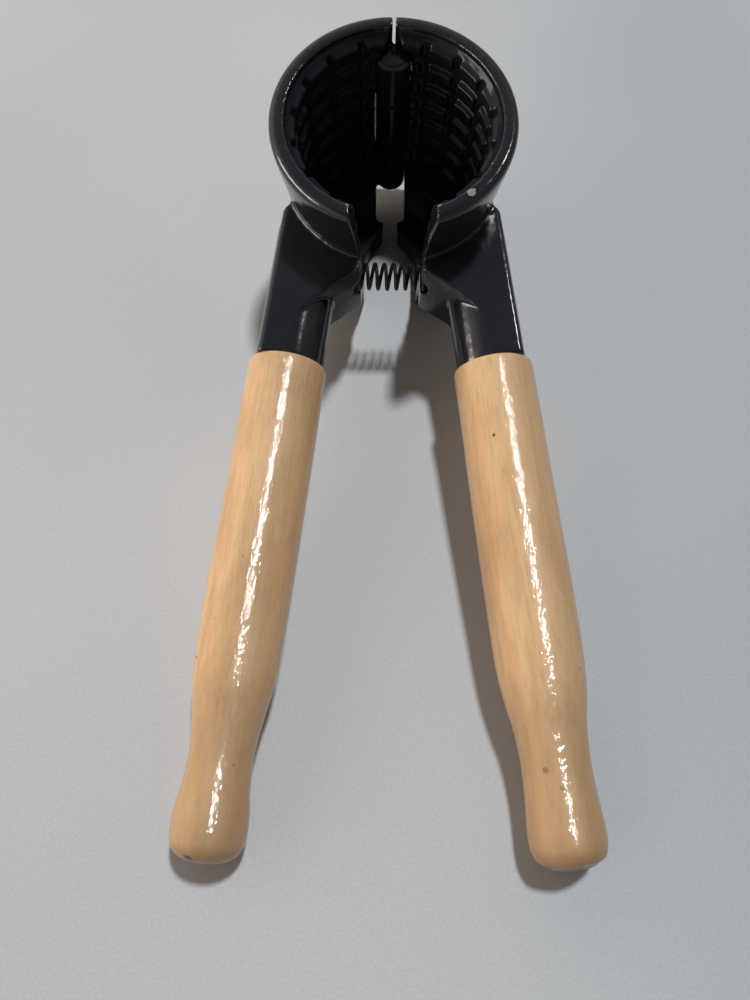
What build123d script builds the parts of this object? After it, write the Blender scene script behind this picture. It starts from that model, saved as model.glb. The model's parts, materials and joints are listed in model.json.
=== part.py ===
"""Plier nutcracker: two half-cup jaws on a hinge pin, an opening spring and two turned handles.

Working frame: cup centre at the height of the handle axes, X across, Y towards the hinge, Z up.
The jaws are modelled open, as the spring holds them. The last step tips the whole tool so that it
stands on the foot of the cup and the ends of the handles, with the origin under its middle.
"""

import os
from math import cos, radians, sin, tan

from build123d import *

os.makedirs("parts", exist_ok=True)

# Cup wall: radius and height of the outside, then of the valleys between the teeth
OUTER_WALL = [(17.0, -28.4), (20.6, -24.8), (23.2, -17.0), (24.9, -9.0), (25.9, 0.0), (26.8, 8.5)]
OUTER_WALL += [(27.5, 14.0), (28.3, 19.5), (28.9, 24.2)]
VALLEYS = [(10.0, -21.0), (17.0, -19.0), (21.0, -14.6), (22.6, -7.0), (23.4, 0.0), (23.9, 9.0)]
VALLEYS += [(24.3, 19.0), (24.3, 23.9)]
RIM_TOP = 26.0
RIM_EDGE = 1.8
RIM_BULGE = (0.53, 1.27)
RIM_INNER = 25.2
RIM_STEP = 24.8
CUP_BOTTOM = -28.4
FLOOR_TOP = -21.0

# Teeth: rows round the cup, broken up by upright grooves
ROW_FIRST = 21.7
ROW_PITCH = 5.7
ROW_COUNT = 7
ROW_DEPTH = 1.4
ROW_FLAT = 2.2
ROW_FOOT = 3.8
GROOVE_FIRST = 109.0
GROOVE_PITCH = 21.0
GROOVE_COUNT = 7
GROOVE_WIDTH = 2.1
GROOVE_SHY = 0.15

# Hinge
HINGE_Y = 22.6
KNUCKLE_RADIUS = 4.3
KNUCKLE_CLEARANCE = 0.4
KNUCKLE_TOP = 19.6
KNUCKLE_LOW = -25.0
MIDDLE_TOP = 7.3
MIDDLE_LOW = -14.4
AXIAL_PLAY = 0.25
PIN_RADIUS = 2.0
PIN_RUNNING = 0.05
PIN_HEAD_RADIUS = 3.1
PIN_HEAD_HEIGHT = 0.6
SPLIT_GAP = 0.35
SPLIT_BEVEL = 1.5
CLOSING_HALF_ANGLE = 6.2

# Opening at the front and in the floor of the cup, half widths
NOTCH = [(10.1, 27.0), (9.8, 26.0), (9.1, 23.0), (8.5, 19.5), (8.1, 14.0), (7.7, 8.5), (7.5, -8.5)]
NOTCH += [(7.1, -29.0)]
NOTCH_BACK = -9.0
BELL_FRONT = 7.2
BELL_MIDDLE = (5.5, -2.8)
BELL_TOP = -12.0
OPENING_REACH = 30.0
SLOT_HALF = 4.1
NECK_FRONT = 1.8
NECK_BACK = 4.7

# Arms
ARM_END = (25.1, -50.7)
HANDLE_ANGLE = 6.8
ARM_REACH = 36.0
ARM_SLANT = 50.0
BAR_RADIUS = 8.4
BAR_OFFSET = 0.2
BAR_OUTSIDE = 5.3
BAR_EDGE = 1.4
WEB_CORNER = (7.4, -28.3)
WEB_ELBOW = (14.7, -33.3)
WEB_END = (22.6, -40.2)
WEB_ROOT = (24.0, -16.0)
WEB_BOTTOM = -10.2

# Tangs and handles
TANG_RADIUS = 4.5
TANG_LENGTH = 62.0
HANDLE_PROFILE = [(9.6, 0.6), (9.65, 12.0), (9.75, 35.0), (9.9, 55.0), (9.85, 67.0), (9.45, 74.5)]
HANDLE_PROFILE += [(8.5, 80.5), (7.6, 85.5), (7.2, 91.0), (7.35, 96.0), (7.9, 100.5), (8.3, 104.5)]
HANDLE_PROFILE += [(8.25, 108.0), (7.2, 110.6), (5.0, 112.0)]
HANDLE_END_RADIUS = 9.2
HANDLE_LENGTH = 112.3
HANDLE_FACET = 3.4

# Spring
SPRING_Y = -25.6
SPRING_Z = 0.0
SPRING_HALF = 10.35
COIL_RADIUS = 3.05
WIRE_RADIUS = 0.5
COIL_PITCH = 2.04
SOCKET_RADIUS = 3.8
SOCKET_DEPTH = 3.0

# Standing pose
TILT = 7.2
STAND_Y = 65.847
STAND_Z = 27.99


def standing(shape):
    """The shape tipped into the pose in which the tool rests on a table."""
    return Pos(0, STAND_Y, STAND_Z) * Rot(X=TILT) * shape


def handle_plane(side):
    """Plane across the handle axis at the arm end; its normal runs down the handle."""
    along = Vector(side * sin(radians(HANDLE_ANGLE)), -cos(radians(HANDLE_ANGLE)), 0)
    return Plane(origin=(side * ARM_END[0], ARM_END[1], 0), x_dir=(0, 0, 1), z_dir=along)


def tooth_profile():
    """Inside of the cup with its rows of teeth, as radius and height from the floor upwards."""
    def valley(height):
        for (r0, z0), (r1, z1) in zip(VALLEYS, VALLEYS[1:]):
            if z0 <= height <= z1:
                return r0 + (r1 - r0) * (height - z0) / (z1 - z0)
        return VALLEYS[-1][0]

    points = [(0, FLOOR_TOP), VALLEYS[0], VALLEYS[1]]
    for row in reversed(range(ROW_COUNT)):
        height = ROW_FIRST - row * ROW_PITCH
        low = height - ROW_FOOT / 2
        high = height + ROW_FOOT / 2
        points.append((valley(low), low))
        points.append((valley(height) - ROW_DEPTH, height - ROW_FLAT / 2))
        points.append((valley(height) - ROW_DEPTH, height + ROW_FLAT / 2))
        points.append((valley(high), high))
    points += [VALLEYS[-1], (RIM_INNER, RIM_STEP), (RIM_INNER, RIM_TOP), (0, RIM_TOP)]
    return points


with BuildPart(mode=Mode.PRIVATE) as tooth_cavity:
    with BuildSketch(Plane.XZ):
        with BuildLine():
            Polyline(*tooth_profile(), close=True)
        make_face()
    revolve(axis=Axis.Z)

with BuildPart(mode=Mode.PRIVATE) as grooves:
    with BuildSketch(Plane.XZ):
        with BuildLine():
            Polyline(
                (0, -17.0),
                *[(radius - GROOVE_SHY, height) for radius, height in VALLEYS[2:]],
                (0, VALLEYS[-1][1]),
                close=True,
            )
        make_face()
    revolve(axis=Axis.Z)
    with BuildSketch(Plane.XY.offset(-18)) as groove_plan:
        for index in range(GROOVE_COUNT):
            angle = GROOVE_FIRST + index * GROOVE_PITCH
            with Locations(Location((0, 0, 0), (0, 0, angle))):
                Rectangle(30, GROOVE_WIDTH, align=(Align.MIN, Align.CENTER))
    extrude(amount=45, mode=Mode.INTERSECT)

with BuildPart(mode=Mode.PRIVATE) as opening:
    with BuildSketch(Plane.XZ.offset(-NOTCH_BACK)):
        with BuildLine():
            Polyline(*NOTCH, *[(-x, z) for x, z in reversed(NOTCH)], close=True)
        make_face()
    extrude(amount=OPENING_REACH)
    neck_front = (NECK_FRONT, HINGE_Y - NECK_FRONT)
    neck_back = (NECK_BACK, HINGE_Y - NECK_BACK)
    with BuildSketch(Plane.XY.offset(CUP_BOTTOM - 2)):
        with BuildLine():
            spread = tan(radians(CLOSING_HALF_ANGLE))
            front = (neck_front[1] * spread, NECK_FRONT)
            back = (neck_back[1] * spread, NECK_BACK)
            Polyline((0, NOTCH_BACK), (BELL_FRONT, NOTCH_BACK))
            ThreePointArc((BELL_FRONT, NOTCH_BACK), BELL_MIDDLE, front)
            Polyline(front, back, (SLOT_HALF - 0.8, NECK_BACK + 0.5), (SLOT_HALF, NECK_BACK + 1.4))
            Polyline((SLOT_HALF, NECK_BACK + 1.4), (SLOT_HALF, HINGE_Y), (0, HINGE_Y), (0, NOTCH_BACK))
        make_face()
        mirror(about=Plane.YZ)
    extrude(amount=BELL_TOP - CUP_BOTTOM + 2)
    # bevels inside the cup along the split at the back
    with BuildSketch(Plane.XY.offset(KNUCKLE_TOP)):
        with BuildLine():
            Polyline(
                (0, 20), (SPLIT_BEVEL + 0.6, 20), (SPLIT_BEVEL, VALLEYS[-1][0]),
                (0, VALLEYS[-1][0] + SPLIT_BEVEL), (0, 20),
            )
        make_face()
        mirror(about=Plane.YZ)
    extrude(amount=RIM_STEP - KNUCKLE_TOP)


def jaw_body(side):
    """Half cup with its arm, web and tang, without the hinge knuckles."""
    with BuildPart(mode=Mode.PRIVATE) as body:
        # arm: flat top and bottom, round on the inside, cut slanting where it runs into the cup
        across = handle_plane(side)
        with BuildSketch(across):
            inward = side
            with Locations((0, inward * BAR_OFFSET)):
                Circle(BAR_RADIUS)
            with Locations((0, -inward * BAR_OUTSIDE / 2 + inward * BAR_OFFSET)):
                RectangleRounded(2 * BAR_RADIUS, BAR_OUTSIDE + BAR_EDGE * 2, BAR_EDGE)
        extrude(amount=-ARM_REACH - BAR_RADIUS)
        outward = across.y_dir * -side
        slant = radians(ARM_SLANT)
        corner = across.origin - across.z_dir * ARM_REACH + outward * BAR_RADIUS
        split(bisect_by=Plane(corner, z_dir=outward * sin(slant) - across.z_dir * cos(slant)),
              keep=Keep.BOTTOM)
        with BuildSketch(Plane.XZ):
            with BuildLine():
                Polyline((0, CUP_BOTTOM), OUTER_WALL[0])
                Spline(*OUTER_WALL)
                top = (OUTER_WALL[-1][0] - RIM_EDGE, RIM_TOP)
                bulge = (OUTER_WALL[-1][0] - RIM_BULGE[0], OUTER_WALL[-1][1] + RIM_BULGE[1])
                ThreePointArc(OUTER_WALL[-1], bulge, top)
                Polyline(top, (0, RIM_TOP), (0, CUP_BOTTOM))
            make_face()
        revolve(axis=Axis.Z)
        # gusset that carries the knuckles
        with BuildSketch(Plane.XY.offset(KNUCKLE_LOW)):
            with BuildLine():
                Polyline(
                    (side * 11.0, 17.0), (side * 10.0, 24.5), (side * 4.2, HINGE_Y + KNUCKLE_RADIUS),
                    (0, HINGE_Y + KNUCKLE_RADIUS), (0, 14.0), (side * 11.0, 14.0), (side * 11.0, 17.0),
                )
            make_face()
        extrude(amount=KNUCKLE_TOP - KNUCKLE_LOW)
        # web between the arm and the front of the cup
        with BuildSketch(Plane.XY.offset(WEB_BOTTOM)):
            with BuildLine():
                outline = [WEB_CORNER, WEB_ELBOW, WEB_END, (WEB_ROOT[0], WEB_END[1]), WEB_ROOT]
                outline += [(WEB_CORNER[0], WEB_ROOT[1])]
                Polyline(*[(side * x, y) for x, y in outline], close=True)
            make_face()
        extrude(amount=BAR_RADIUS - WEB_BOTTOM)
        # keep this side only, hollow the cup, open the front and the floor
        with Locations((side * (40 + SPLIT_GAP), 0, 0)):
            Box(80, 140, 80, mode=Mode.INTERSECT)
        add(tooth_cavity.part, mode=Mode.SUBTRACT)
        turned = grooves.part if side < 0 else mirror(grooves.part, about=Plane.YZ)
        add(turned, mode=Mode.SUBTRACT)
        add(opening.part, mode=Mode.SUBTRACT)
        with Locations(Location((0, 0, -STAND_Z / cos(radians(TILT))), (-TILT, 0, 0))):
            Box(80, 140, 40, align=(Align.CENTER, Align.CENTER, Align.MAX), mode=Mode.SUBTRACT)
        # socket for the spring end
        socket = Plane(origin=(side * (WEB_CORNER[0] - 2.0), SPRING_Y, SPRING_Z), z_dir=(side, 0, 0))
        with BuildSketch(socket):
            Circle(SOCKET_RADIUS)
        extrude(amount=SOCKET_DEPTH + 2.0, mode=Mode.SUBTRACT)
        # tang inside the handle
        with BuildSketch(handle_plane(side)):
            Circle(TANG_RADIUS)
        extrude(amount=TANG_LENGTH)
    return body.part


def knuckle(low, high):
    with Locations((0, HINGE_Y, low)):
        Cylinder(KNUCKLE_RADIUS, high - low, align=(Align.CENTER, Align.CENTER, Align.MIN))


def knuckle_space(low, high):
    with Locations((0, HINGE_Y, low)):
        Cylinder(
            KNUCKLE_RADIUS + KNUCKLE_CLEARANCE, high - low,
            align=(Align.CENTER, Align.CENTER, Align.MIN), mode=Mode.SUBTRACT,
        )


def head_space():
    with Locations((0, HINGE_Y, KNUCKLE_TOP)):
        Cylinder(
            PIN_HEAD_RADIUS + KNUCKLE_CLEARANCE, PIN_HEAD_HEIGHT + 0.6,
            align=(Align.CENTER, Align.CENTER, Align.MIN), mode=Mode.SUBTRACT,
        )


def pin_bore(radius):
    with Locations((0, HINGE_Y, 0)):
        Cylinder(radius, 80, mode=Mode.SUBTRACT)


with BuildPart() as left_jaw:
    add(jaw_body(-1))
    knuckle_space(MIDDLE_LOW - AXIAL_PLAY, MIDDLE_TOP + AXIAL_PLAY)
    knuckle(MIDDLE_TOP + AXIAL_PLAY, KNUCKLE_TOP)
    knuckle(KNUCKLE_LOW, MIDDLE_LOW - AXIAL_PLAY)
    head_space()
    pin_bore(PIN_RADIUS)

with BuildPart() as right_jaw:
    add(jaw_body(1))
    knuckle_space(MIDDLE_TOP, KNUCKLE_TOP + 0.4)
    knuckle_space(KNUCKLE_LOW - 1.0, MIDDLE_LOW)
    knuckle(MIDDLE_LOW, MIDDLE_TOP)
    head_space()
    pin_bore(PIN_RADIUS + PIN_RUNNING)

with BuildPart() as hinge_pin:
    with Locations((0, HINGE_Y, KNUCKLE_LOW)):
        Cylinder(PIN_RADIUS, KNUCKLE_TOP - KNUCKLE_LOW, align=(Align.CENTER, Align.CENTER, Align.MIN))
    with Locations((0, HINGE_Y, KNUCKLE_TOP)):
        Cylinder(PIN_HEAD_RADIUS, PIN_HEAD_HEIGHT, align=(Align.CENTER, Align.CENTER, Align.MIN))
    fillet(hinge_pin.edges().group_by(Axis.Z)[-1], PIN_HEAD_HEIGHT * 0.7)

with BuildPart() as spring:
    seat = (-SPRING_HALF + WIRE_RADIUS, SPRING_Y, SPRING_Z)
    with BuildLine():
        coil = Helix(COIL_PITCH, 2 * (SPRING_HALF - WIRE_RADIUS), COIL_RADIUS, seat, (1, 0, 0))
    with BuildSketch(Plane(origin=coil @ 0, z_dir=coil % 0)):
        Circle(WIRE_RADIUS)
    sweep(path=coil, is_frenet=True)


def handle(side):
    """Turned handle, bored for the tang."""
    plane = handle_plane(side)
    with BuildPart(mode=Mode.PRIVATE) as turned:
        with BuildSketch(Plane.XZ):
            with BuildLine():
                Polyline((0, 0), (HANDLE_END_RADIUS, 0), HANDLE_PROFILE[0])
                Spline(*HANDLE_PROFILE)
                Polyline(HANDLE_PROFILE[-1], (HANDLE_FACET, HANDLE_LENGTH), (0, HANDLE_LENGTH), (0, 0))
            make_face()
        revolve(axis=Axis.Z)
        with Locations((0, 0, 0)):
            Cylinder(
                TANG_RADIUS, TANG_LENGTH + 1.0,
                align=(Align.CENTER, Align.CENTER, Align.MIN), mode=Mode.SUBTRACT,
            )
    return plane.location * turned.part


with BuildPart() as left_handle:
    add(handle(-1))

with BuildPart() as right_handle:
    add(handle(1))

pieces = {
    "left_jaw": left_jaw, "right_jaw": right_jaw, "hinge_pin": hinge_pin, "spring": spring,
    "left_handle": left_handle, "right_handle": right_handle,
}
for name, piece in pieces.items():
    shape = standing(piece.part)
    shape.label = name
    export_step(shape, f"parts/{name}.step")
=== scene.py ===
import json
import math

import bmesh
import bpy
import numpy as np
from mathutils import Matrix, Vector, noise
from mathutils.geometry import interpolate_bezier


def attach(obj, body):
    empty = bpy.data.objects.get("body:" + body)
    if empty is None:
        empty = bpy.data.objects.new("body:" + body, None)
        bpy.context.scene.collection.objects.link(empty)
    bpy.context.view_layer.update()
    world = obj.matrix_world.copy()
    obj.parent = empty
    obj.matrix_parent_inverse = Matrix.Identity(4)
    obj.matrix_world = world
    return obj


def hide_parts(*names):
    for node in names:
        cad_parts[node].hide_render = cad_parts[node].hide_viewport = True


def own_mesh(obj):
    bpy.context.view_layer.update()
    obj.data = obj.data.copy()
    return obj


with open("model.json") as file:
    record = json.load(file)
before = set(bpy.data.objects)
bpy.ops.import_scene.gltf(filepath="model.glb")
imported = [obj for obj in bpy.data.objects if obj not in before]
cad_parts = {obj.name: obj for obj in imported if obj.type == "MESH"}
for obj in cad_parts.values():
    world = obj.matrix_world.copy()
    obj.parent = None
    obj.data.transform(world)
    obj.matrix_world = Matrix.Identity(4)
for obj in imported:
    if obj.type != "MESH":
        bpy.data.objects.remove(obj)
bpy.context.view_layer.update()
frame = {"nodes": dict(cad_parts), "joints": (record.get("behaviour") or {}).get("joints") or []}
nodes = frame["nodes"]
scene = bpy.context.scene
scene.view_settings.view_transform = "Standard"
print("frame loaded:", ", ".join(sorted(nodes)))

# tool space: cup centre at the height of the handle axes, y towards the hinge, z out of the cup.
# The tool stands tipped, and the hinge axis says by how much. Sizes below are in mm in that space.
mm = 0.001
hinge = frame["joints"][0]
hingeY = 22.6
tilt = math.atan2(hinge["axis"][1], -hinge["axis"][2])
toolTurn = Matrix.Rotation(tilt, 4, "X")
toolPlace = Matrix.Translation(Vector(hinge["pos_m"]) - toolTurn @ Vector((0, hingeY * mm, 0))) @ toolTurn


# small helpers

def node(tree, kind, at=(0, 0), inputs=None, **settings):
    made = tree.nodes.new(kind)
    made.location = at
    for key, value in settings.items():
        setattr(made, key, value)
    for key, value in (inputs or {}).items():
        if isinstance(value, bpy.types.NodeSocket):
            tree.links.new(value, made.inputs[key])
        else:
            made.inputs[key].default_value = value
    return made


def sums(tree, operation, a, b=0.0, at=(0, 0), clamp=False):
    made = node(tree, "ShaderNodeMath", at, {0: a, 1: b}, operation=operation, use_clamp=clamp)
    return made.outputs[0]


def blendColour(tree, share, a, b, at=(0, 0), mode="MIX"):
    made = node(tree, "ShaderNodeMix", at, {0: share, 6: a, 7: b}, data_type="RGBA", blend_type=mode)
    return made.outputs[2]


def noiseField(tree, space, scale, stretch=(1, 1, 1), detail=3.0, rough=0.5, at=(0, 0), lean=0.0):
    mapped = node(tree, "ShaderNodeMapping", at, {"Vector": space, "Scale": stretch})
    made = node(tree, "ShaderNodeTexNoise", (at[0] + 180, at[1]),
                {"Vector": mapped.outputs[0], "Scale": scale, "Detail": detail, "Roughness": rough,
                 "Distortion": lean})
    return made.outputs[0]


def ramp(tree, source, stops, at=(0, 0), smooth=False):
    made = node(tree, "ShaderNodeValToRGB", at, {0: source})
    band = made.color_ramp
    band.interpolation = "EASE" if smooth else "LINEAR"
    band.elements[0].position, band.elements[0].color = stops[0][0], shade(stops[0][1])
    band.elements[1].position, band.elements[1].color = stops[-1][0], shade(stops[-1][1])
    for place, tone in stops[1:-1]:
        band.elements.new(place).color = shade(tone)
    return made.outputs[0]


def shade(tone):
    if isinstance(tone, (int, float)):
        return (tone, tone, tone, 1)
    return (*tone, 1)


def freshMaterial(name):
    material = bpy.data.materials.new(name)
    material.use_nodes = True
    tree = material.node_tree
    tree.nodes.clear()
    shader = node(tree, "ShaderNodeBsdfPrincipled", (900, 0))
    out = node(tree, "ShaderNodeOutputMaterial", (1200, 0), {0: shader.outputs[0]})
    out.is_active_output = True
    return material, tree, shader


def finish(obj, material, body, slotName, *stoodFor):
    scene.collection.objects.link(obj)
    obj.data.materials.clear()
    obj.data.materials.append(material)
    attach(obj, body)
    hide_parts(*stoodFor)
    return obj


def smoothSides(mesh):
    mesh.polygons.foreach_set("use_smooth", [True] * len(mesh.polygons))


# materials

enamelLook = {
    "black": (0.0135, 0.0142, 0.0180), "primer": (0.30, 0.30, 0.29), "dust": (0.02, 0.021, 0.024),
    "gloss": 0.13, "shine": 0.5, "shelter": 0.36, "pinGloss": 0.34, "pinShine": 0.12, "chipRough": 0.55,
    "peelSize": 420.0, "peelDepth": 0.00006, "castSize": 150.0, "castDepth": 0.00012,
}


def blackEnamel(name, gloss, shine, shelter=0.0):
    look = enamelLook
    material, tree, shader = freshMaterial(name)
    place = node(tree, "ShaderNodeTexCoord", (-1400, 0)).outputs["Object"]
    peel = noiseField(tree, place, look["peelSize"], detail=2.0, at=(-1100, -300))
    cast = noiseField(tree, place, look["castSize"], detail=1.5, at=(-1100, -520))
    scuff = noiseField(tree, place, 2600.0, detail=3.0, rough=0.6, at=(-1100, 200))
    worn = node(tree, "ShaderNodeAttribute", (-900, 450), attribute_name="worn").outputs["Fac"]
    ragged = sums(tree, "ADD", worn, sums(tree, "MULTIPLY", sums(tree, "SUBTRACT", scuff, 0.5), 0.9))
    bare = ramp(tree, ragged, [(0.50, 0.0), (0.58, 1.0)], at=(-450, 450))
    dull = ramp(tree, cast, [(0.35, 0.0), (0.75, 1.0)], at=(-450, 150))
    coat = blendColour(tree, sums(tree, "MULTIPLY", dull, 0.18), shade(look["black"]), shade(look["dust"]),
                       at=(-150, 150))
    bareTone = blendColour(tree, scuff, shade(look["primer"]), shade((0.17, 0.165, 0.155)), at=(-150, 380))
    tree.links.new(blendColour(tree, bare, coat, bareTone, at=(200, 250)), shader.inputs["Base Color"])
    gloss = sums(tree, "ADD", sums(tree, "MULTIPLY", dull, 0.06), gloss)
    rough = sums(tree, "ADD", gloss, sums(tree, "MULTIPLY", bare, look["chipRough"]), clamp=True)
    tree.links.new(rough, shader.inputs["Roughness"])
    lumps = node(tree, "ShaderNodeBump", (300, -400), {"Height": cast, "Distance": look["castDepth"]})
    fine = node(tree, "ShaderNodeBump", (500, -300),
                {"Height": peel, "Distance": look["peelDepth"], "Normal": lumps.outputs[0]})
    chipEdge = node(tree, "ShaderNodeBump", (700, -300),
                    {"Height": bare, "Distance": 0.00012, "Normal": fine.outputs[0]}, invert=True)
    tree.links.new(chipEdge.outputs[0], shader.inputs["Normal"])
    shader.inputs["Specular IOR Level"].default_value = shine
    if shelter:
        # made less shiny inside the cup, to imitate how dark it looks; the enamel itself is the same there
        sheltered = node(tree, "ShaderNodeAttribute", (-900, 650), attribute_name="sheltered").outputs["Fac"]
        faint = sums(tree, "SUBTRACT", shine, sums(tree, "MULTIPLY", sheltered, shelter), clamp=True)
        tree.links.new(faint, shader.inputs["Specular IOR Level"])
    return material


springLook = {"tone": (0.006, 0.0062, 0.007), "gloss": 0.28}


def blackWire():
    material, tree, shader = freshMaterial("blackWire")
    place = node(tree, "ShaderNodeTexCoord", (-900, 0)).outputs["Object"]
    grain = noiseField(tree, place, 1800.0, detail=3.0, at=(-700, 0))
    tone = blendColour(tree, grain, shade(springLook["tone"]), shade((0.018, 0.018, 0.019)), at=(0, 200))
    tree.links.new(tone, shader.inputs["Base Color"])
    gloss = sums(tree, "ADD", sums(tree, "MULTIPLY", grain, 0.2), springLook["gloss"])
    tree.links.new(gloss, shader.inputs["Roughness"])
    bump = node(tree, "ShaderNodeBump", (300, -300), {"Height": grain, "Distance": 0.00003})
    tree.links.new(bump.outputs[0], shader.inputs["Normal"])
    return material


woodLook = {
    "pale": (0.70, 0.445, 0.235), "mid": (0.62, 0.375, 0.185), "deep": (0.40, 0.215, 0.09),
    "endTone": (0.36, 0.205, 0.095), "fleck": (0.06, 0.03, 0.015),
    "fibre": 1500.0, "fibreDepth": 0.00003, "varnish": 980.0, "varnishDepth": 0.00016,
    # the share and width for the right side set painted shade, not a stain in the wood
    "flankShadeShare": 0.45, "flankShadeWidth": 0.0098, "shine": 0.3,
    "coat": 0.75, "coatRough": 0.05, "coatIor": 1.5,
}


def varnishedWood(name, seed, flecks, endFrom):
    look = woodLook
    material, tree, shader = freshMaterial(name)
    place = node(tree, "ShaderNodeAttribute", (-2200, 0), attribute_name="turningPlace").outputs["Vector"]
    moved = node(tree, "ShaderNodeVectorMath", (-2000, 0), {0: place, 1: (seed, 0.3 * seed, 0.02 * seed)})
    space = moved.outputs[0]
    across, _, along = node(tree, "ShaderNodeSeparateXYZ", (-2000, 400), {0: place}).outputs
    fibre = noiseField(tree, space, look["fibre"], (1, 1, 0.09), 4.0, 0.6, (-1700, 300))
    bands = noiseField(tree, space, 150.0, (1, 1, 0.16), 3.0, 0.55, (-1700, 60), lean=0.8)
    blotch = noiseField(tree, space, 75.0, (1, 1, 0.45), 3.0, 0.55, (-1700, -180), lean=0.4)
    pores = noiseField(tree, space, 3600.0, (1, 1, 0.13), 1.0, 0.4, (-1700, -420))
    skin = node(tree, "ShaderNodeTexCoord", (-2000, -660)).outputs["Object"]
    lumps = noiseField(tree, skin, look["varnish"], detail=1.0, rough=0.45, at=(-1700, -660))
    # growth bands, then fibres, pores and blotches over them
    tone = blendColour(tree, ramp(tree, bands, [(0.36, 0.0), (0.66, 1.0)], (-1200, 60), True),
                       shade(look["pale"]), shade(look["mid"]), (-900, 60))
    streak = ramp(tree, fibre, [(0.30, 0.84), (0.52, 1.0), (0.75, 1.05)], (-1200, 300))
    tone = blendColour(tree, 1.0, tone, streak, (-700, 160), "MULTIPLY")
    stain = ramp(tree, blotch, [(0.47, 0.0), (0.74, 0.42)], (-1200, -180), True)
    tone = blendColour(tree, stain, tone, shade(look["deep"]), (-500, 100))
    dots = ramp(tree, pores, [(0.64, 0.0), (0.74, 0.38)], (-1200, -420))
    tone = blendColour(tree, dots, tone, shade(look["deep"]), (-300, 100))
    # painted shade: each handle's right side is darkened, standing in for the light that falls from the
    # left; the neck and the rounded end took the stain more deeply
    paintedFlankShade = ramp(tree, sums(tree, "DIVIDE", across, look["flankShadeWidth"]),
                 [(0.05, 0.0), (1.0, look["flankShadeShare"])], (-1200, 820))
    tone = blendColour(tree, paintedFlankShade, tone, shade(look["deep"]), (-200, 120))
    neck = ramp(tree, sums(tree, "DIVIDE", along, endFrom),
                [(0.64, 0.0), (0.80, 0.58), (0.96, 0.72), (1.0, 1.5)], (-1200, 560))
    neckShare = sums(tree, "MULTIPLY", neck, sums(tree, "ADD", blotch, 0.45), clamp=True)
    tone = blendColour(tree, neckShare, tone, shade(look["endTone"]), (-100, 160))
    for spot, size, weight in flecks:
        gap = node(tree, "ShaderNodeVectorMath", (-700, 700), {0: place, 1: [v * mm for v in spot]},
                   operation="DISTANCE").outputs["Value"]
        uneven = sums(tree, "MULTIPLY", gap, sums(tree, "ADD", fibre, 0.6))
        mask = ramp(tree, sums(tree, "DIVIDE", uneven, size * mm), [(0.6, weight), (1.2, 0.0)], (-300, 700))
        tone = blendColour(tree, mask, tone, shade(look["fleck"]), (100, 300))
    tree.links.new(tone, shader.inputs["Base Color"])
    tree.links.new(ramp(tree, blotch, [(0.3, 0.48), (0.7, 0.62)], (0, -100)), shader.inputs["Roughness"])
    shader.inputs["Coat Weight"].default_value = look["coat"]
    shader.inputs["Coat Roughness"].default_value = look["coatRough"]
    shader.inputs["Coat IOR"].default_value = look["coatIor"]
    shader.inputs["Specular IOR Level"].default_value = look["shine"]
    grainBump = node(tree, "ShaderNodeBump", (400, -300), {"Height": fibre, "Distance": look["fibreDepth"]})
    coatBump = node(tree, "ShaderNodeBump", (600, -450),
                    {"Height": lumps, "Distance": look["varnishDepth"], "Normal": grainBump.outputs[0]})
    tree.links.new(grainBump.outputs[0], shader.inputs["Normal"])
    tree.links.new(coatBump.outputs[0], shader.inputs["Coat Normal"])
    return material


# jaws: the cast halves, with rounded edges and worn enamel

jawLook = {
    "voxel": 0.00035, "softening": 8, "faces": 180000, "edgeReach": 8, "edgeFull": 0.00010,
    "cupRadius": 25.6, "cupTop": 25.4,
    # worn lines (from, to, half width, how worn) and chips (centre, radius, how worn)
    "left_jaw": {
        "lines": [((-9.9, -27.2, 25.5), (-8.2, -26.4, 15.0), 0.3, 0.46),
                  ((-8.2, -26.4, 15.0), (-7.5, -26.6, 8.5), 0.3, 0.48)],
        "chips": [((-10.1, -23.2, 26.0), 0.42, 0.9), ((-27.9, -9.0, 18.0), 0.3, 0.7)],
    },
    "right_jaw": {
        "lines": [((10.0, -23.0, 26.0), (15.5, -18.9, 26.0), 0.3, 0.72),
                  ((15.5, -18.9, 26.0), (23.8, -7.9, 26.0), 0.3, 0.5),
                  ((9.9, -23.2, 26.0), (9.9, -26.4, 25.6), 0.22, 0.5),
                  ((9.8, -27.2, 25.4), (8.4, -26.4, 17.0), 0.3, 0.56),
                  ((8.4, -26.4, 17.0), (7.6, -26.4, 8.5), 0.3, 0.5),
                  ((0.4, 25.3, 26.0), (0.4, 27.4, 25.6), 0.3, 0.6)],
        # painted highlights: the two small pale chips at (22.0, -12.4) and (20.2, -14.8) stand where the
        # lamp glints on the rim's front edge
        "chips": [((17.3, -20.0, 26.0), 0.8, 1.0), ((22.0, -12.4, 26.0), 0.3, 0.8),
                  ((20.2, -14.8, 26.0), 0.3, 0.8), ((10.0, -23.1, 26.0), 0.5, 0.9)],
    },
}


def toolPoint(point):
    return toolPlace @ (Vector(point) * mm)


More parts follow.
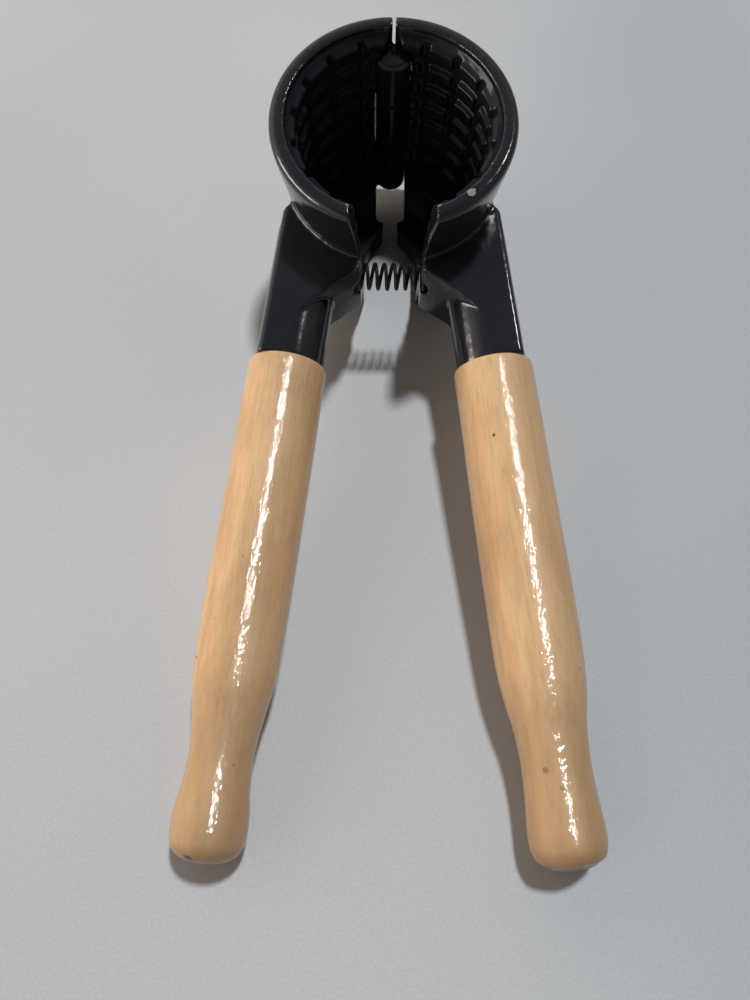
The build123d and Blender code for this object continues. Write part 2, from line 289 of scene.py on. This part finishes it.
def markWear(mesh, spec):
    count = len(mesh.vertices)
    places = np.empty(count * 3)
    mesh.vertices.foreach_get("co", places)
    places = places.reshape(-1, 3)
    normals = np.empty(count * 3)
    mesh.vertex_normals.foreach_get("vector", normals)
    normals = normals.reshape(-1, 3)
    ends = np.empty(len(mesh.edges) * 2, int)
    mesh.edges.foreach_get("vertices", ends)
    a, b = ends[0::2], ends[1::2]
    share = np.maximum(np.bincount(a, minlength=count) + np.bincount(b, minlength=count), 1)
    soft = places.copy()
    for _ in range(jawLook["edgeReach"]):
        total = np.empty_like(soft)
        for k in range(3):
            total[:, k] = np.bincount(a, soft[b, k], count) + np.bincount(b, soft[a, k], count)
        soft = total / share[:, None]
    ridge = ((places - soft) * normals).sum(1)
    ridge = np.clip(ridge / jawLook["edgeFull"], 0, 1)  # 1 on outward edges
    worn = 0.12 * ridge
    for start, stop, width, weight in spec["lines"]:
        p, q = np.array(toolPoint(start)), np.array(toolPoint(stop))
        t = np.clip(((places - p) @ (q - p)) / ((q - p) @ (q - p)), 0, 1)
        gap = np.linalg.norm(places - (p + t[:, None] * (q - p)), axis=1)
        near = np.clip(2.2 - gap / (width * mm), 0, 1)
        worn = np.maximum(worn, near * (0.15 + 0.85 * ridge) * weight)
    for centre, radius, weight in spec["chips"]:
        gap = np.linalg.norm(places - np.array(toolPoint(centre)), axis=1)
        worn = np.maximum(worn, np.clip(1.8 - gap / (radius * mm), 0, 1) * weight)
    mesh.attributes.new("worn", "FLOAT", "POINT").data.foreach_set("value", worn.astype(np.float32))
    back = np.array(toolPlace.inverted())
    local = (places @ back[:3, :3].T + back[:3, 3]) / mm
    inward = np.clip((jawLook["cupRadius"] - np.hypot(local[:, 0], local[:, 1])) * 2, 0, 1)
    sheltered = inward * np.clip((jawLook["cupTop"] - local[:, 2]) * 1.5, 0, 1)
    layer = mesh.attributes.new("sheltered", "FLOAT", "POINT")
    layer.data.foreach_set("value", sheltered.astype(np.float32))


def castJaw(nodeName, body, material):
    rough = bpy.data.objects.new(nodeName + "_blank", nodes[nodeName].data.copy())
    scene.collection.objects.link(rough)
    skin = rough.modifiers.new("skin", "REMESH")
    skin.mode = "VOXEL"
    skin.voxel_size = jawLook["voxel"]
    ease = rough.modifiers.new("ease", "SMOOTH")
    ease.factor = 0.5
    ease.iterations = jawLook["softening"]
    full = bpy.data.meshes.new_from_object(rough.evaluated_get(bpy.context.evaluated_depsgraph_get()))
    quads = len(full.polygons)
    bpy.data.meshes.remove(full)
    thin = rough.modifiers.new("thin", "DECIMATE")
    thin.ratio = min(1.0, jawLook["faces"] / (2 * quads))
    mesh = bpy.data.meshes.new_from_object(rough.evaluated_get(bpy.context.evaluated_depsgraph_get()))
    bpy.data.objects.remove(rough)
    mesh.name = nodeName + "_casting"
    smoothSides(mesh)
    markWear(mesh, jawLook[nodeName])
    print(nodeName, "remeshed:", quads, "quads, kept", len(mesh.polygons), "faces")
    return finish(bpy.data.objects.new(nodeName + "_casting", mesh), material, body, "enamel", nodeName)


enamel = blackEnamel("blackEnamel", enamelLook["gloss"], enamelLook["shine"], enamelLook["shelter"])
castJaw("left_jaw", "left_half", enamel)
castJaw("right_jaw", "right_half", enamel)


# turned pieces

def easedProfile(points, step):
    knots = [Vector((r, z, 0)) for r, z in points]
    line = [knots[0]]
    for i in range(len(knots) - 1):
        before, p, q, after = knots[max(i - 1, 0)], knots[i], knots[i + 1], knots[min(i + 2, len(knots) - 1)]
        pieces = max(2, int((q - p).length / step) + 1)
        line += interpolate_bezier(p, p + (q - before) / 6, q - (after - p) / 6, q, pieces)[1:]
    return [(v.x, v.y) for v in line]


def turned(name, setting, profile, around, uneven=0.0, seed=0.0):
    rings = []
    bm = bmesh.new()
    for r, z in profile:
        ring = []
        for k in range(around):
            angle = 2 * math.pi * k / around
            x, y = math.cos(angle), math.sin(angle)
            swell = 1 + uneven * noise.noise(Vector((1.3 * x + seed, 1.3 * y, 0.045 * z)))
            ring.append(bm.verts.new(Vector((r * swell * x, r * swell * y, z)) * mm))
        rings.append(ring)
    for low, high in zip(rings, rings[1:]):
        for k in range(around):
            bm.faces.new((low[k], low[(k + 1) % around], high[(k + 1) % around], high[k]))
    bm.faces.new(reversed(rings[0]))
    bm.faces.new(rings[-1])
    bmesh.ops.recalc_face_normals(bm, faces=bm.faces)
    mesh = bpy.data.meshes.new(name)
    bm.to_mesh(mesh)
    bm.free()
    smoothSides(mesh)
    # where each point was on the lathe, so that the grain follows the axis
    places = np.empty(len(mesh.vertices) * 3, np.float32)
    mesh.vertices.foreach_get("co", places)
    mesh.attributes.new("turningPlace", "FLOAT_VECTOR", "POINT").data.foreach_set("vector", places)
    mesh.transform(setting)
    return mesh


handleSpec = {
    "armEnd": (25.1, -50.7), "splay": 6.8, "bore": 4.5, "boreDepth": 63.0, "around": 128, "step": 0.8,
    "left": {
        "body": "left_half", "side": -1, "seed": 3.1,
        "top": [(4.5, 0.0), (9.0, 0.0), (9.3, 0.12), (9.5, 0.6)],
        "outline": [(9.5, 0.6), (9.55, 12.0), (9.6, 35.0), (9.65, 56.0), (9.5, 68.0), (9.05, 75.5),
                    (8.1, 81.0), (7.25, 87.0), (6.95, 92.0), (7.25, 97.0), (7.95, 102.0),
                    (8.15, 105.5), (7.75, 108.8),
                    (6.3, 110.9), (3.6, 112.0), (0.4, 112.2)],
        # dark flecks: x across, y up, z along the handle, size, strength
        "flecks": [((-8.2, 5.0, 71.4), 0.55, 0.8), ((-2.0, 6.2, 110.8), 1.3, 0.9),
                   ((-1.0, 9.4, 49.0), 0.35, 0.5), ((-5.0, 7.9, 63.0), 0.5, 0.45),
                   ((4.1, 6.0, 92.0), 0.6, 0.35), ((-4.4, 5.6, 84.0), 0.7, 0.35)],
    },
    "right": {
        "body": "right_half", "side": 1, "seed": 8.7,
        "top": [(4.5, 0.0), (9.1, 0.0), (9.4, 0.12), (9.6, 0.6)],
        "outline": [(9.6, 0.6), (9.7, 14.0), (9.8, 30.0), (9.95, 48.0), (9.95, 64.0), (9.65, 72.5),
                    (8.9, 79.0), (7.95, 84.5), (7.5, 91.0), (7.55, 96.5), (7.9, 101.5), (8.2, 105.5),
                    (8.1, 108.4),
                    (7.3, 110.7), (6.1, 111.5), (5.7, 111.55), (5.4, 112.0), (3.0, 112.25), (0.4, 112.3)],
        "flecks": [((-4.0, 8.8, 19.7), 0.55, 0.95), ((-3.6, 6.5, 92.3), 0.8, 0.5),
                   ((-1.0, 7.4, 96.0), 0.6, 0.4), ((4.0, 8.1, 101.0), 0.6, 0.35),
                   ((1.5, 9.5, 66.0), 0.4, 0.5), ((-2.4, 9.4, 58.0), 0.35, 0.5),
                   ((7.0, 6.7, 73.0), 0.6, 0.3)],
    },
}


def handlePlace(side):
    splay = math.radians(handleSpec["splay"])
    along = Vector((side * math.sin(splay), -math.cos(splay), 0))
    up = Vector((0, 0, 1))
    across = up.cross(along)
    turn = Matrix((across, up, along)).transposed().to_4x4()
    x, y = handleSpec["armEnd"]
    return toolPlace @ Matrix.Translation(Vector((side * x, y, 0)) * mm) @ turn


def turnedHandle(which):
    spec = handleSpec[which]
    nodeName = which + "_handle"
    bore = [(0.3, handleSpec["boreDepth"]), (handleSpec["bore"], handleSpec["boreDepth"] - 0.2)]
    outline = easedProfile(spec["outline"], handleSpec["step"])
    profile = bore + spec["top"][:-1] + outline
    place = handlePlace(spec["side"])
    mesh = turned(nodeName + "_turning", place, profile, handleSpec["around"], 0.012, spec["seed"])
    obj = bpy.data.objects.new(nodeName + "_turning", mesh)
    wood = varnishedWood(which + "HandleWood", spec["seed"], spec["flecks"], 0.1123)
    print(nodeName, "turned:", len(mesh.polygons), "faces")
    return finish(obj, wood, spec["body"], "handle_wood", nodeName)


turnedHandle("left")
turnedHandle("right")

pinSpec = {"radius": 1.98, "bottom": -25.0, "top": 19.6, "headRadius": 3.1, "headHeight": 0.6, "around": 48}


def hingePin(material):
    p = pinSpec
    head = [(p["headRadius"] * math.cos(a), p["top"] + 0.12 + (p["headHeight"] - 0.12) * math.sin(a))
            for a in np.radians([0, 18, 36, 54, 72, 86])]
    profile = [(0.2, p["bottom"]), (1.8, p["bottom"]), (p["radius"], p["bottom"] + 0.2),
               (p["radius"], p["top"]), (p["headRadius"], p["top"])] + head
    place = toolPlace @ Matrix.Translation((0, hingeY * mm, 0))
    obj = bpy.data.objects.new("hinge_pin_turning", turned("hinge_pin_turning", place, profile, p["around"]))
    return finish(obj, material, "left_half", "pin_steel", "hinge_pin")


hingePin(blackEnamel("pinEnamel", enamelLook["pinGloss"], enamelLook["pinShine"]))


# spring: wound wire, both ends closed, the coils a little uneven

springSpec = {
    "y": -25.6, "z": 0.0, "half": 10.35, "coil": 3.0, "wire": 0.47, "turns": 9.6, "endTurns": 0.9,
    "perTurn": 40, "section": 12, "keep": 0.42,
}


def woundSpring(material):
    s = springSpec
    steps = int(s["turns"] * s["perTurn"])
    openTurns = s["turns"] - 2 * s["endTurns"]
    endPitch = 2.1 * s["wire"]
    openPitch = (2 * (s["half"] - s["wire"]) - 2 * s["endTurns"] * endPitch) / openTurns
    bm = bmesh.new()
    rings = []
    x = -s["half"] + s["wire"]
    for i in range(steps + 1):
        turn = i / s["perTurn"]
        angle = 2 * math.pi * turn + 0.6
        closing = min(turn, s["turns"] - turn) / s["endTurns"]
        pitch = endPitch if closing < 1 else openPitch
        lean = 0.22 * math.sin(angle + 0.5) * min(1.0, closing / 2)
        radius = s["coil"] + 0.06 * math.sin(0.7 * angle)
        out = Vector((0, math.cos(angle), math.sin(angle)))
        centre = Vector((x + lean, s["y"], s["z"])) + out * radius
        ahead = Vector((pitch / (2 * math.pi * radius), -math.sin(angle), math.cos(angle))).normalized()
        side = ahead.cross(out)
        ring = []
        for k in range(s["section"]):
            a = 2 * math.pi * k / s["section"]
            rim = centre + (out * math.cos(a) + side * math.sin(a)) * s["wire"]
            ring.append(bm.verts.new(toolPoint(rim)))
        rings.append(ring)
        x += pitch / s["perTurn"]
    n = s["section"]
    for low, high in zip(rings, rings[1:]):
        for k in range(n):
            bm.faces.new((low[k], low[(k + 1) % n], high[(k + 1) % n], high[k]))
    bm.faces.new(reversed(rings[0]))
    bm.faces.new(rings[-1])
    bmesh.ops.recalc_face_normals(bm, faces=bm.faces)
    mesh = bpy.data.meshes.new("spring_wound")
    bm.to_mesh(mesh)
    bm.free()
    smoothSides(mesh)
    obj = finish(bpy.data.objects.new("spring_wound", mesh), material, "left_half", "spring_steel", "spring")
    # a stand-in for a coil that would bend; it ends up shorter than its own stacked wire
    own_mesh(obj)
    print("spring wound:", len(mesh.polygons), "faces")
    return obj


woundSpring(blackWire())


# table

tableLook = {"tone": (0.610, 0.592, 0.590), "cool": (0.570, 0.566, 0.572), "size": 3.0, "rough": 0.55}


def paleTable():
    material, tree, shader = freshMaterial("paleTable")
    place = node(tree, "ShaderNodeTexCoord", (-1200, 0)).outputs["Object"]
    cloud = noiseField(tree, place, 7.0, detail=3.0, at=(-900, 200))
    speck = noiseField(tree, place, 1500.0, detail=2.0, rough=0.7, at=(-900, -100))
    tone = blendColour(tree, ramp(tree, cloud, [(0.38, 0.0), (0.62, 1.0)], (-500, 200), True),
                       shade(tableLook["tone"]), shade(tableLook["cool"]), (-200, 200))
    # painted light: the table is made lighter on the left and darker and bluer on the right, standing in for
    # the light falling off across it
    across = node(tree, "ShaderNodeSeparateXYZ", (-900, 450), {0: place}).outputs[0]
    paintedFalloff = ramp(tree, sums(tree, "ADD", sums(tree, "MULTIPLY", across, 4.5), 0.5),
                 [(0.0, (1.02, 1.02, 1.02)), (0.5, 1.0), (1.0, (0.80, 0.84, 0.87))], (-500, 450), True)
    tone = blendColour(tree, 1.0, tone, paintedFalloff, (-50, 300), "MULTIPLY")
    glint = ramp(tree, speck, [(0.32, 0.955), (0.5, 1.0), (0.72, 1.07)], (-500, -100))
    tree.links.new(blendColour(tree, 1.0, tone, glint, (100, 200), "MULTIPLY"), shader.inputs["Base Color"])
    shader.inputs["Roughness"].default_value = tableLook["rough"]
    bump = node(tree, "ShaderNodeBump", (300, -300), {"Height": speck, "Distance": 0.00006})
    tree.links.new(bump.outputs[0], shader.inputs["Normal"])
    return material


bpy.ops.mesh.primitive_plane_add(size=tableLook["size"])
table = bpy.context.object
table.name = "table_top"
table.data.materials.append(paleTable())


# light

lampSpec = {
    # direction towards the lamp, distance, size, watts and tint
    # only the key lights everything; the glints make highlights alone, each on some pieces only
    "key": {
        "towards": (0.19, 0.39, 1.0), "far": 5.0, "size": (0.36, 0.42),
        "watts": 176.0, "tint": (0.87, 0.95, 1.0),
    },
    "window": {
        "towards": (-1.0, 0.25, 0.24), "far": 1.2, "size": (0.5, 0.9),
        "watts": 9.0, "tint": (1, 0.92, 0.83),
    },
    "windowGlint": {
        "towards": (-1.0, -0.08, 0.30), "far": 1.2, "size": (0.4, 0.9),
        "watts": 12.0, "tint": (1, 0.9, 0.8),
    },
    "woodGlint": {
        "towards": (0.22, 0.03, 1.0), "far": 5.0, "size": (0.26, 3.4),
        "watts": 300.0, "tint": (1, 1, 1),
    },
    "enamelGlint": {
        "towards": (0.62, 0.50, 1.0), "far": 5.0, "size": (0.4, 0.4),
        "watts": 40.0, "tint": (1, 1, 1),
    },
}
handles = ["left_handle_turning", "right_handle_turning"]
enamelled = ["left_jaw_casting", "right_jaw_casting", "hinge_pin_turning", "spring_wound"]


def softLamp(name, pieces=None, diffuse=True, glossy=True):
    spec = lampSpec[name]
    data = bpy.data.lights.new(name, "AREA")
    data.shape = "RECTANGLE"
    data.size, data.size_y = spec["size"]
    data.energy = spec["watts"]
    data.color = spec["tint"]
    lamp = bpy.data.objects.new(name, data)
    scene.collection.objects.link(lamp)
    # the lamp faces the tool, and its long side runs as nearly along the tool as that allows
    back = Vector(spec["towards"]).normalized()
    side = Vector((0, 1, 0)).cross(back).normalized()
    lamp.matrix_world = Matrix.Translation(back * spec["far"]) @ \
        Matrix((side, back.cross(side), back)).transposed().to_4x4()
    lamp.visible_diffuse = diffuse
    lamp.visible_glossy = glossy
    if pieces:
        lit = bpy.data.collections.new(name + "Pieces")
        for piece in pieces:
            lit.objects.link(bpy.data.objects[piece])
        lamp.light_linking.receiver_collection = lit


softLamp("key", glossy=False)
softLamp("window", handles + enamelled, glossy=False)
softLamp("windowGlint", enamelled, diffuse=False)
softLamp("woodGlint", handles, diffuse=False)
softLamp("enamelGlint", enamelled, diffuse=False)

roomLook = {
    "low": (0.44, 0.385, 0.34), "middle": (0.58, 0.52, 0.46), "high": (0.13, 0.125, 0.12), "leftness": 0.8,
    # a dark card over the handles keeps the inside of the cup dark
    "card": (0.0, -0.62, 0.78), "cardTone": 0.12,
}


def roomLight():
    world = bpy.data.worlds.new("room")
    scene.world = world
    world.use_nodes = True
    tree = world.node_tree
    tree.nodes.clear()
    way = node(tree, "ShaderNodeTexCoord", (-1100, 0)).outputs["Generated"]
    across, _, height = node(tree, "ShaderNodeSeparateXYZ", (-900, 0), {0: way}).outputs
    leaning = sums(tree, "SUBTRACT", 1.0, sums(tree, "MULTIPLY", across, roomLook["leftness"]))
    nearCard = node(tree, "ShaderNodeVectorMath", (-900, -250), {0: way, 1: roomLook["card"]},
                    operation="DOT_PRODUCT").outputs["Value"]
    card = ramp(tree, nearCard, [(0.70, 1.0), (0.90, roomLook["cardTone"])], (-600, -250), True)
    tone = ramp(tree, height, [(0.0, roomLook["low"]), (0.55, roomLook["middle"]), (0.9, roomLook["high"])],
                (-450, 0), True)
    sky = node(tree, "ShaderNodeBackground", (-100, 0), {0: tone, 1: sums(tree, "MULTIPLY", leaning, card)})
    node(tree, "ShaderNodeOutputWorld", (100, 0), {0: sky.outputs[0]})


roomLight()

# camera, placed in tool space

cameraSpec = {"place": (-2.797, -127.378, 170.195), "turn": (14.302, 0.047, 0.616), "sensor": 36, "lens": 27}
lens = bpy.data.cameras.new("camera")
lens.sensor_fit = "AUTO"
lens.sensor_width = cameraSpec["sensor"]
lens.lens = cameraSpec["lens"]
lens.clip_start = 0.01
camera = bpy.data.objects.new("camera", lens)
scene.collection.objects.link(camera)
aim = [math.radians(angle) for angle in cameraSpec["turn"]]
camera.matrix_world = toolPlace @ Matrix.LocRotScale(Vector(cameraSpec["place"]) * mm, None, None) \
    @ (Matrix.Rotation(aim[2], 4, "Z") @ Matrix.Rotation(aim[1], 4, "Y") @ Matrix.Rotation(aim[0], 4, "X"))
scene.camera = camera
